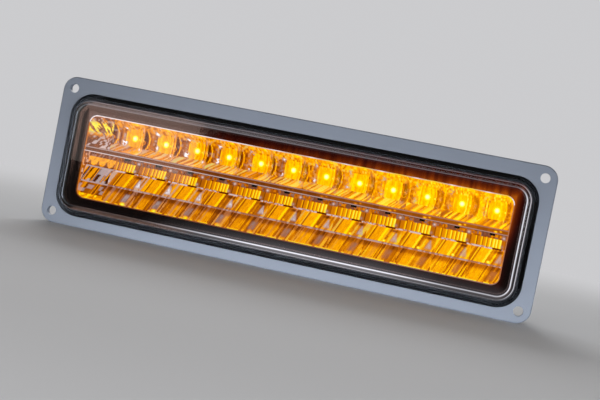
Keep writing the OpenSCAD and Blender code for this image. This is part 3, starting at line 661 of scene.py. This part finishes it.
def row_looks(x, z):
    """Painted amber light and painted glints of the upper row. Upright flutes bulge to both sides of each
    diode, as w = u / sqrt(1 - (v / 13)^2). A square patch is painted lit round the diode, painted arcs shine
    right of it past a painted darker zone, painted glints stand left of it, and painted slanted streaks run
    below it; all is brighter to the right."""
    cell = np.floor((x - row_left) / PITCH)
    u = (x - row_left - (cell + 0.5) * PITCH) / MM
    v = (z - row_middle) / MM
    across = np.clip((x + 0.1) / 0.2, 0, 1)
    w = u / np.sqrt(1 - np.clip(v / 13, -0.8, 0.8) ** 2)
    mosaic = hashed(np.floor(w / 0.9), np.floor((v + 20) / 1.3), cell)
    stripe = hashed(np.floor((w + 20) / 0.85), cell * 0.3)
    painted_glow = 0.20 + 0.36 * stripe + 0.20 * mosaic + 0.28 * across ** 1.5
    painted_glow = np.where(v > 4.8, 0.46 + 0.34 * mosaic + 0.16 * across, painted_glow)
    slant = hashed(np.floor((u - 0.9 * (v + 5) + 40) / 0.9), cell + 3)
    low = v < -5.0
    painted_glow = np.where(low, 0.42 + 0.54 * slant + 0.04 * across, painted_glow)
    r = np.hypot(u, v)
    inside = (np.abs(w) < 4.4) & (v < 5.0) & (v > -4.9)
    fill = 0.62 + 0.16 * stripe + 0.08 * mosaic + 0.12 * across
    painted_glow = np.where(inside, np.maximum(painted_glow, fill), painted_glow)
    painted_glow = np.maximum(painted_glow, 1.0 * np.exp(-(r / (4.2 + 1.6 * across)) ** 2.2))
    left = 1 - across
    right_of = np.mod(u, CELL) + 0.035 * v ** 2
    dark = bump_at(right_of - 7.4 - 3.2 * left, 1.9) * step_at(5.6 - np.abs(v), 0, 0.4)
    painted_glow = painted_glow * (1 - 0.62 * dark * (1 - 0.5 * across ** 2))
    lines = np.stack([
        0.90 * bump_at(w + 4.4, 0.35) * step_at(5.4 - np.abs(v), 0, 0.3),
        0.97 * bump_at(w - 4.7, 0.50) * step_at(6.2 - np.abs(v + 0.5), 0, 0.3),
        0.92 * bump_at(right_of - 9.8 - 1.9 * left, 0.38) * step_at(6.2 - np.abs(v), 0, 0.4),
        0.72 * bump_at(np.hypot(right_of - 6.3 - 2.6 * left, v + 1.4) - 1.5, 0.32),
        1.10 * spot(u + 1.2 * left, v, (4.4, -0.3), (0.9, 1.0)),
        0.98 * spot(u, v, (2.4, 8.1), (2.3, 0.8)),
        0.80 * bump_at(np.hypot(u - 0.5, v - 3.0) - 5.2, 0.3) * (v > 4.8),
        1.15 * np.exp(-(r / 1.7) ** 2)])
    painted_glow = np.maximum(painted_glow, lines.max(0))
    shard = hashed(np.floor((u + 0.6 * v + 30) / 0.9), np.floor((v - 0.5 * u + 30) / 1.0), cell)
    glint_paint = np.stack([
        1.7 * spot(u - 1.7 * left, v, (-6.4, -3.2), (1.2, 2.0)) * (shard > 0.40) * (0.25 + 0.75 * left),
        1.3 * spot(u - 1.7 * left, v, (-6.3, 5.0), (1.3, 1.5)) * (shard > 0.50) * (0.4 + 0.6 * left),
        0.80 * spot(u - 1.7 * left, v, (-6.9, 0.9), (0.6, 2.4)) * (shard > 0.30) * left,
        1.2 * spot(u, v, (5.9, -5.6), (2.0, 1.3)) * (shard > 0.45) * (0.2 + 0.8 * left),
        0.70 * spot(u, v, (7.9, -7.4), (1.3, 0.9)) * (0.3 + 0.7 * left),
        0.70 * spot(u, v, (6.6, 5.6), (1.1, 1.6)) * left,
        0.62 * low * (slant > 0.62) * left,
        0.48 * (mosaic > 0.86) * (r > 5.2) * (0.15 + 0.85 * left)])
    silver = np.clip(glint_paint.max(0), 0, 1)
    silver = np.where(silver < 0.8, 0.8 * silver, silver)
    # The end cell left of the bowls gets painted amber light in a band and painted glints in flecks.
    in_end = x < row_left
    end_a = hashed(np.floor(x / MM / 1.5 + 0.5 * v), np.floor((v + 12) / 1.5 + 0.3 * x / MM))
    end_b = hashed(np.floor(x / MM / 1.1 - 0.5 * v), np.floor((v + 11) / 1.2), 2.0)
    band = bump_at(v - 2.5, 4.5)
    painted_glow = np.where(in_end, 0.22 + 0.72 * (end_a > 0.4) * band + 0.30 * end_b, painted_glow)
    silver = np.where(in_end, 0.05 + 0.66 * (end_b > 0.60) * (1 - 0.8 * band), silver)
    return np.clip(painted_glow, 0, 1.0), silver


def make_bowl_row():
    """Upper reflector: y = rim + depth (1 - s^2)(1 - t^4) in each cell, with shallow upright flutes,
    open round each diode, and the plain bar below with a raised bead along each edge."""
    columns = 48
    inner = (np.arange(BOWLS * columns + 1) / columns) * PITCH + row_left
    x = np.concatenate([np.linspace(-window_half - TUCK, row_left, 40)[:-1], inner])
    top = window_top + TUCK
    z = np.concatenate([[top, window_top], np.linspace(window_top - 0.3 * MM, bar_top, 46),
                        np.linspace(bar_top, bar_low + 0.1 * MM, 13)[1:]])
    xx, zz = np.meshgrid(x, z)
    in_end = xx < row_left
    cell = np.where(in_end, (xx + window_half) / (row_left + window_half), (xx - row_left) / PITCH)
    s = 2 * (cell - np.floor(cell)) - 1
    t = np.clip((zz - row_middle) / (ROW_H / 2), -1, 1)
    depth = np.where(in_end, END_D, BOWL_D)
    inside = (xx > -window_half) & (zz > bar_top) & (zz < window_top)
    bowl = depth * (1 - s ** 2) * (1 - t ** 4) * inside
    flutes = ROW_FLUTE_DEPTH * np.abs(np.sin(cell * math.pi * ROW_FLUTES)) * inside * (1 - t ** 4)
    in_bar = np.clip((bar_top - zz) / BAR_H, 0, 1)
    bead = -BAR_BEAD * (bump_at(in_bar - 0.10, 0.09) + bump_at(in_bar - 0.90, 0.09)) * (zz <= bar_top)
    y = RIM_Y + bowl - flutes + bead
    painted_glow, silver = row_looks(xx, zz)
    # On the bar: painted amber light, brighter to the right, with painted bright notches, and painted
    # highlights along its beads.
    on_bar = zz <= bar_top + 1e-6
    across = np.clip((xx + 0.1) / 0.2, 0, 1)
    edge = np.clip(0.75 * bump_at(in_bar - 0.10, 0.09) + bump_at(in_bar - 0.90, 0.11), 0, 1)
    bar_u = (np.mod(xx - row_left, PITCH) - PITCH / 2) / MM
    notch = spot(bar_u, in_bar, (1.4, 0.62), (0.9, 0.16))
    notch = notch + 0.8 * spot(bar_u, in_bar, (4.0, 0.45), (0.6, 0.14))
    bar_painted_glow = 0.21 + 0.20 * across + 0.06 * hashed(np.floor(xx / MM / 2.7), 5.0)
    painted_glow = np.where(on_bar, bar_painted_glow + 0.62 * across ** 2 * notch, painted_glow)
    silver = np.where(on_bar, 0.05 * np.clip(0.8 - 2.4 * across, 0, 1) + edge * (0.9 - 0.35 * across), silver)
    silver = np.clip(silver, 0, 1)
    mid_x = (xx[:-1, :-1] + xx[1:, 1:]) / 2
    mid_z = (zz[:-1, :-1] + zz[1:, 1:]) / 2
    off = np.abs(mid_x[..., None] - bowl_centres).min(-1)
    hole = np.hypot(off, mid_z - row_middle) < DIODE_HOLE_R
    points = np.stack([xx, y, zz], -1)
    mesh = grid_mesh("bowl_row", points, ~hole, {"painted_glow": painted_glow, "silver": silver})
    mesh.materials.append(coating)
    piece = bpy.data.objects.new("bowl_row", mesh)
    scene.collection.objects.link(piece)
    return piece


bowl_row = make_bowl_row()
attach(bowl_row, "root")
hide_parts("row_reflector")


# The lower reflector is a stair of three fluted steps. The flutes stand upright on the first step
# and lean on the others; they repeat at the pitch of the diodes, two wide and four narrow ones.
STEP_H = 8.5 * MM
LAST_STEP_H = 10.7 * MM
STEP_RISE = 3.4 * MM
LEDGE_RISE = 1.7 * MM
LEDGE_H = 0.4 * MM
FLUTE_DEPTH = 0.9 * MM
LEAN = 0.42
STEP_MIDDLE = 4.2
LEDGE_AT = 8.05
FLUTE_START = 4.9
FLUTE_EDGES = np.array([0, 3.6, 6.6, 9.2, 11.4, 13.3, 15.0, 17.0, CELL])


def flute_place(p):
    """For millimetres from the first flute of a pitch: which flute it lies in, and how far across."""
    which = np.clip(np.searchsorted(FLUTE_EDGES, p, side="right") - 1, 0, 7)
    start = FLUTE_EDGES[which]
    width = FLUTE_EDGES[which + 1] - start
    return which, (p - start) / width, width


def first_step_looks(u, v, cell, p, which, part, across):
    """Painted light of the first step: a row of dark teeth, then upright flutes with a painted bright right
    edge, brighter to the right.
    """
    painted_glow = 0.50 + 0.045 * which + 0.06 * hashed(which, cell)
    width = FLUTE_EDGES[which + 1] - FLUTE_EDGES[which]
    painted_glow = painted_glow + 0.30 * bump_at((1 - part) * width - 0.25, 0.42)
    painted_glow = painted_glow - 0.26 * bump_at(part * width - 0.2, 0.30)
    painted_glow = np.where(which == 7, 0.45, painted_glow)
    silver = 0.75 * spot(p, v, (17.6, 6.7), (0.9, 0.9)) * (1 - 0.5 * across)
    tooth = hashed(np.floor((u + 20) / 0.9), np.floor(v / 1.2), cell)
    block = (u > -5.2) & (u < -0.4) & (v < 2.6)
    row = v < 2.9
    painted_glow = np.where(row, 0.20 + 0.38 * tooth, painted_glow)
    silver = np.where(row, 0.30 * (tooth < 0.25), silver)
    painted_glow = np.where(block, 0.14 + 0.08 * tooth, painted_glow)
    silver = np.where(block, 0.14, silver)
    silver = np.maximum(silver, 0.8 * spot(u - 5 * np.clip(across, 0, 0.5), v, (4.1, 2.0), (1.0, 0.9)))
    line = v > 8.0
    painted_glow = np.where(line, np.where((p > 12.5) & (p < 18), 0.15, 0.5), painted_glow)
    silver = np.where(line, np.where((p > 12.5) & (p < 18), 0.0, 0.75 * (tooth > 0.3)), silver)
    return painted_glow, silver


def second_step_looks(u, v, cell, across):
    """Painted light on leaning facets: q = u + lean * (v - middle) stays the same along a line. A broad facet
    painted bright, narrow ones on both sides and a triangle of painted glint come back once a pitch."""
    u = np.mod(u - 4.9 - 2.6 * np.clip(1 - 2.2 * across, 0, 1) + CELL / 2, CELL) - CELL / 2
    q = np.mod(u + LEAN * (v - STEP_MIDDLE) - 7.4, CELL)
    narrow = hashed(np.floor(q / 1.05), cell + 9)
    fill = hashed(cell, 4.0)
    fine = hashed(np.floor(q / 0.45), np.floor(v / 2.1), cell)
    painted_glow = np.where(q < 5.6, 0.66 + 0.07 * fill, 0.40 + 0.42 * narrow) + 0.12 * (fine - 0.4)
    painted_glow = np.where((q > 5.6) & (q < 7.0), 0.88, painted_glow)
    painted_glow = np.maximum(painted_glow, 0.98 * bump_at(q - 18.9, 0.40))
    painted_glow = np.maximum(painted_glow, 1.3 * spot(u, v, (-4.2, 7.0), (1.2, 1.0)) * (0.3 + 0.7 * across))
    painted_glow = painted_glow * (1 - 0.6 * bump_at(q - 0.5, 0.3))
    half = 0.35 + 0.32 * np.clip(v - 1.9, 0, 6)
    triangle = step_at(half - np.abs(u - 1.4 + 0.15 * (v - 4)), 0, 0.16)
    triangle = triangle * (v > 1.9) * step_at(6.8 - v, 0, 0.25)
    triangle = triangle * (0.72 + 0.34 * hashed(np.floor(v / 1.1), np.floor(u / 0.7), cell))
    painted_glow = painted_glow * (1 - 0.55 * spot(u, v, (0.6, 0.9), (2.2, 0.8)))
    silver = triangle * (0.95 - 0.40 * across)
    silver = np.maximum(silver, 0.55 * (narrow > 0.8) * (q > 8) * (1 - across))
    line = v > LEDGE_AT
    painted_glow = np.where(line, 0.40, painted_glow)
    silver = np.where(line, 0.28 + 0.3 * (narrow > 0.5), silver)
    return painted_glow, silver


def third_step_looks(u, v, cell, x, across):
    """Painted shade at the top under the ledge, leaning facets of painted light with a painted grey
    parallelogram of glint a pitch, and painted glints along the foot.
    """
    u = np.mod(u - 5.3 + CELL / 2, CELL) - CELL / 2
    q = np.mod(u + LEAN * (v - 5) - 6.0, CELL)
    narrow = hashed(np.floor(q / 0.85), cell + 21)
    fine = hashed(np.floor(q / 0.45), np.floor(v / 2.6), cell + 2)
    painted_glow = np.where((q > 1.2) & (q < 5.4), 0.64, 0.34 + 0.40 * narrow) + 0.04 * across + 0.14 * (fine - 0.4)
    painted_glow = np.maximum(painted_glow, 0.88 * bump_at(q - 5.9, 0.40))
    grey = step_at(1.8 - np.abs(q - 11.9), 0, 0.2) * step_at(2.5 - np.abs(v - 4.8), 0, 0.25)
    grey = grey * (0.55 + 0.45 * hashed(np.floor(q / 0.6), np.floor(v / 2.3), cell))
    painted_glow = painted_glow * (1 - grey) + (0.26 + 0.22 * across) * grey
    silver = np.maximum(grey * (0.62 - 0.48 * across), 0.26 * (narrow > 0.75) * (1 - across))
    painted_glow = painted_glow * (1 - 0.35 * step_at(2.3 - v, 0, 0.4))
    foot = hashed(np.floor(x / MM / 1.7), 11.0)
    painted_glow = np.maximum(painted_glow, 0.93 * bump_at(v - 9.0, 0.7) * (foot > 0.45))
    painted_glow = np.maximum(painted_glow, 1.15 * spot(u, v, (-2.0, 8.3), (2.8, 1.7)) * (1 - 0.8 * across))
    painted_glow = np.maximum(painted_glow, 1.0 * spot(u, v, (7.6, 8.7), (1.7, 0.9)) * (1 - 0.7 * across))
    return painted_glow, silver


def end_looks(x, v, k, share):
    """Painted light on the left ends of the steps: three round painted amber lobes, then leaning facets with
    painted glints, then a painted bright foot.
    """
    lobe = np.mod(share * 3, 1.0)
    q = x / MM + LEAN * v
    stripe = hashed(np.floor(q / 0.85), k)
    broad = hashed(np.floor((q + 1.0) / 1.9), np.floor(v / 3.4), k)
    fleck = hashed(np.floor(q / 1.1), np.floor(v / 1.5), k + 4)
    curve = 4 * (lobe - 0.45) ** 2
    first = np.where((v > 2.6) & (v < 7.9 - 3.0 * curve), 0.66 + 0.16 * fleck, 0.26 + 0.24 * fleck)
    second = 0.18 + 0.55 * (stripe > 0.6)
    third = np.where(v > 6.4, 0.62 + 0.38 * fleck, 0.30 + 0.40 * stripe)
    painted_glow = np.choose(k, [first, second, third])
    glint_paint = np.choose(k, [0.30 * (v <= 2.6) * (fleck > 0.7),
                         np.where(broad > 0.55, 0.62, 0.45 * (stripe < 0.3)),
                         0.5 * (broad > 0.7) * (v < 5.5) * (v > 1.0)])
    return painted_glow, glint_paint


def make_steps():
    """Lower reflector: for step k, y = start - k (rise + ledge) - share * rise, less the flutes, which
    are triangular waves across x and lean on the second and third step. A side wall of
    a few columns at each end comes forward to the frame."""
    wall, columns = 8, 48
    left_end = -window_half - TUCK
    x = np.concatenate([np.full(wall, left_end), np.linspace(left_end, row_left, 42)[:-1],
                        row_left + PITCH * np.arange(BOWLS * columns + 1) / columns,
                        np.full(wall, row_right)])
    downs = [np.linspace(0, 1, 22), np.linspace(0, 1, 22), np.linspace(0, 1, 27)]
    heights = np.array([STEP_H, STEP_H, LAST_STEP_H])
    ks = np.repeat(np.arange(3), [d.size for d in downs])
    share = np.concatenate(downs)
    z = bar_low - ks * (STEP_H + LEDGE_H) - share * heights[ks]
    xx, zz = np.meshgrid(x, z)
    k = np.repeat(ks[:, None], x.size, 1)
    down = np.repeat(share[:, None], x.size, 1)
    v = down * heights[k] / MM
    cell = np.clip(np.floor((xx - row_left) / PITCH), 0, BOWLS - 1)
    u = (xx - row_left - (cell + 0.5) * PITCH) / MM
    across = np.clip((xx + 0.1) / 0.2, 0, 1)
    later = 3.0 * np.clip(2 * across - 1, 0, 1) * (k == 0)
    p = np.mod(u + np.where(k == 0, 0, LEAN) * (v - STEP_MIDDLE) - FLUTE_START - later, CELL)
    which, part, width = flute_place(p)
    ridge = FLUTE_DEPTH * (0.25 + 0.2 * width) * (1 - np.abs(2 * part - 1))
    end = (xx + window_half) / (row_left + window_half)
    in_end = xx < row_left
    lobe = 3 * end - np.floor(3 * end)
    ridge = np.where(in_end, FLUTE_DEPTH * (1 - np.abs(2 * lobe - 1)) * (xx > -window_half), ridge)
    start = RIM_Y + 1.2 * MM + 3 * STEP_RISE + 2 * LEDGE_RISE
    y = start - k * (STEP_RISE + LEDGE_RISE) - down * STEP_RISE - ridge
    # The colours of the steps are painted light: painted amber light and painted glints.
    looks = [first_step_looks(u, v, cell, p, which, part, across),
             second_step_looks(u, v, cell, across),
             third_step_looks(u, v, cell, xx, across)]
    painted_glow = np.choose(k, [pair[0] for pair in looks])
    silver = np.choose(k, [pair[1] for pair in looks])
    end_glow, end_silver = end_looks(xx, v, k, end)
    painted_glow = np.where(in_end, end_glow, painted_glow)
    silver = np.where(in_end, end_silver, silver)
    # The ledge lips at the left end get a painted glint.
    lip = (k < 2) & (v > LEDGE_AT) & in_end
    painted_glow = np.where(lip, 0.3, painted_glow)
    silver = np.where(lip, 0.6, silver)
    front = RIM_Y + 0.6 * MM
    back = np.arange(wall) / wall
    y[:, :wall] = front + (y[:, wall:wall + 1] - front) * back
    y[:, -wall:] = (front + (y[:, -wall - 1:-wall] - front) * back)[:, ::-1]
    # The end walls get painted amber light and painted glints in random flecks.
    fleck = hashed(np.floor(v / 1.3), np.broadcast_to(np.arange(x.size), v.shape), k)
    for end_wall in (slice(None, wall), slice(-wall, None)):
        painted_glow[:, end_wall] = 0.25 + 0.55 * fleck[:, end_wall]
        silver[:, end_wall] = 0.55 * (fleck[:, end_wall] > 0.7)
    points = np.stack([xx, y, zz], -1)
    keep = np.ones((z.size - 1, x.size - 1), bool)
    # All the steps are painted a little brighter to the right.
    painted_glow = np.clip(painted_glow + 0.10 * (across - 0.35), 0, 1)
    mesh = grid_mesh("fluted_steps", points, keep, {"painted_glow": painted_glow, "silver": np.clip(silver, 0, 1)})
    mesh.materials.append(coating)
    piece = bpy.data.objects.new("fluted_steps", mesh)
    scene.collection.objects.link(piece)
    return piece


fluted_steps = make_steps()
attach(fluted_steps, "root")
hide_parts("step_reflector")


# A bright bead runs round the window, where the reflectors' coated rims show inside the bezel. It carries a
# painted highlight, brightest along the top except over each diode, where painted amber light shows instead.
BEAD_R = 0.30 * MM


def make_window_bead():
    """A round bead carried round the window's outline."""
    path = round_path(2 * window_half, window_top - window_bottom, WINDOW_R, window_middle, 10)
    profile = arc_points((WINDOW_R - 0.20 * MM, RIM_Y - 0.15 * MM), BEAD_R, 0, 330, 11)
    return settle(swept_ring("window_bead", profile, path), "window_bead")


window_bead = make_window_bead()
spots = np.empty(len(window_bead.data.vertices) * 3)
window_bead.data.vertices.foreach_get("co", spots)
spots = spots.reshape(-1, 3)
upper = spots[:, 2] > window_top - 1.5 * MM
top_corner = (np.abs(spots[:, 0]) > window_half - WINDOW_R) & (spots[:, 2] > window_top - WINDOW_R)
lower = spots[:, 2] < window_bottom + 1.5 * MM
# Painted highlight along the bead, and painted amber light where the highlight is dim.
bead_painted_highlight = np.select([upper | top_corner, lower, spots[:, 0] > 0], [0.88, 0.12, 0.22], 0.08)
bead_painted_highlight = bead_painted_highlight + 0.22 * lower * np.clip(spots[:, 0] / 0.1, 0, 1)
over = bump_at((np.mod(spots[:, 0] - row_left, PITCH) - PITCH / 2) / MM - 2.4, 3.2)
bead_painted_highlight = bead_painted_highlight * (1 - 0.85 * upper * over * np.clip(spots[:, 0] / 0.1 + 0.6, 0, 1))
bead_painted_glow = np.select([upper, lower, spots[:, 0] > 0], [0.9, 0.35, 0.5], 0.55)
for title, values in (("silver", bead_painted_highlight), ("painted_glow", bead_painted_glow)):
    window_bead.data.attributes.new(title, "FLOAT", "POINT").data.foreach_set("value", values)
window_bead.data.materials.append(coating)
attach(window_bead, "root")


# The diodes are small square bodies with a clear dome over a lit amber chip.
def lit_material(name):
    """A glowing diode: the light fades from its axis outward, r = hypot(u, v) from the cell's middle."""
    material, tree, shader = new_material(name)
    set_plain(shader, Base_Color=(0.9, 0.6, 0.1, 1), Roughness=0.2)
    place = tree.nodes.new("ShaderNodeTexCoord")
    split = tree.nodes.new("ShaderNodeSeparateXYZ")
    tree.links.new(place.outputs["Object"], split.inputs[0])
    cells = maths(tree, "DIVIDE", maths(tree, "SUBTRACT", split.outputs["X"], float(row_left)), float(PITCH))
    u = maths(tree, "MULTIPLY", maths(tree, "SUBTRACT", maths(tree, "FRACT", cells), 0.5), float(PITCH / MM))
    v = maths(tree, "DIVIDE", maths(tree, "SUBTRACT", split.outputs["Z"], float(row_middle)), MM)
    r = maths(tree, "SQRT", maths(tree, "ADD", maths(tree, "MULTIPLY", u, u), maths(tree, "MULTIPLY", v, v)))
    fade = tree.nodes.new("ShaderNodeValToRGB")
    set_ramp(fade, [(0.0, (1.0, 0.98, 0.72)), (0.40, (1.0, 0.94, 0.40)), (0.62, (1.0, 0.85, 0.02)),
                    (1.0, (1.0, 0.72, 0))])
    tree.links.new(maths(tree, "DIVIDE", r, 2.2), fade.inputs[0])
    tree.links.new(fade.outputs[0], shader.inputs["Emission Color"])
    shader.inputs["Emission Strength"].default_value = 1.2
    return material


finish_node(row_diodes, lit_material("lit_amber_dome"))
finish_node(step_diodes, moulded("dark_amber_body", (0.10, 0.06, 0.03), 0.4))


# Boards, parts on them, leads and screws are hidden in the housing, and each has its own finish.
finish_node(["row_board", "step_board"], moulded("dark_board", (0.020, 0.016, 0.010), 0.35, scale=300.0))
finish_node(["rectifier_diode", "driver_chip", "resistors"],
            moulded("black_epoxy", (0.015, 0.015, 0.016), 0.5))
finish_node(["capacitor"], moulded("aluminium_can", (0.75, 0.76, 0.78), 0.3, Metallic=1.0))
finish_node(["lead_ground"], moulded("black_lead", (0.01, 0.01, 0.01), 0.35))
finish_node(["lead_park"], moulded("brown_lead", (0.13, 0.045, 0.015), 0.35))
finish_node(["lead_turn"], moulded("blue_lead", (0.015, 0.06, 0.28), 0.35))
finish_node(["board_screws", "inlet_screws"], moulded("zinc_plate", (0.60, 0.60, 0.62), 0.32, Metallic=1.0))
finish_node(["terminal_ground", "terminal_park", "terminal_turn"],
            moulded("tinned_brass", (0.76, 0.62, 0.36), 0.28, Metallic=1.0))
finish_node(["vent_membrane"], moulded("porous_film", (0.78, 0.78, 0.77), 0.8, scale=2500.0, bump=0.4))


# The inlet's shroud is black nylon, screwed over a rubber gasket; the vent has a soft rubber cap.
finish_node(["inlet_shell"], moulded("black_nylon", (0.018, 0.018, 0.020), 0.48, scale=1200.0, bump=0.25))
finish_node(["inlet_gasket", "vent_cap"], moulded("soft_black_rubber", (0.022, 0.022, 0.022), 0.7,
                                                  scale=700.0, bump=0.35))
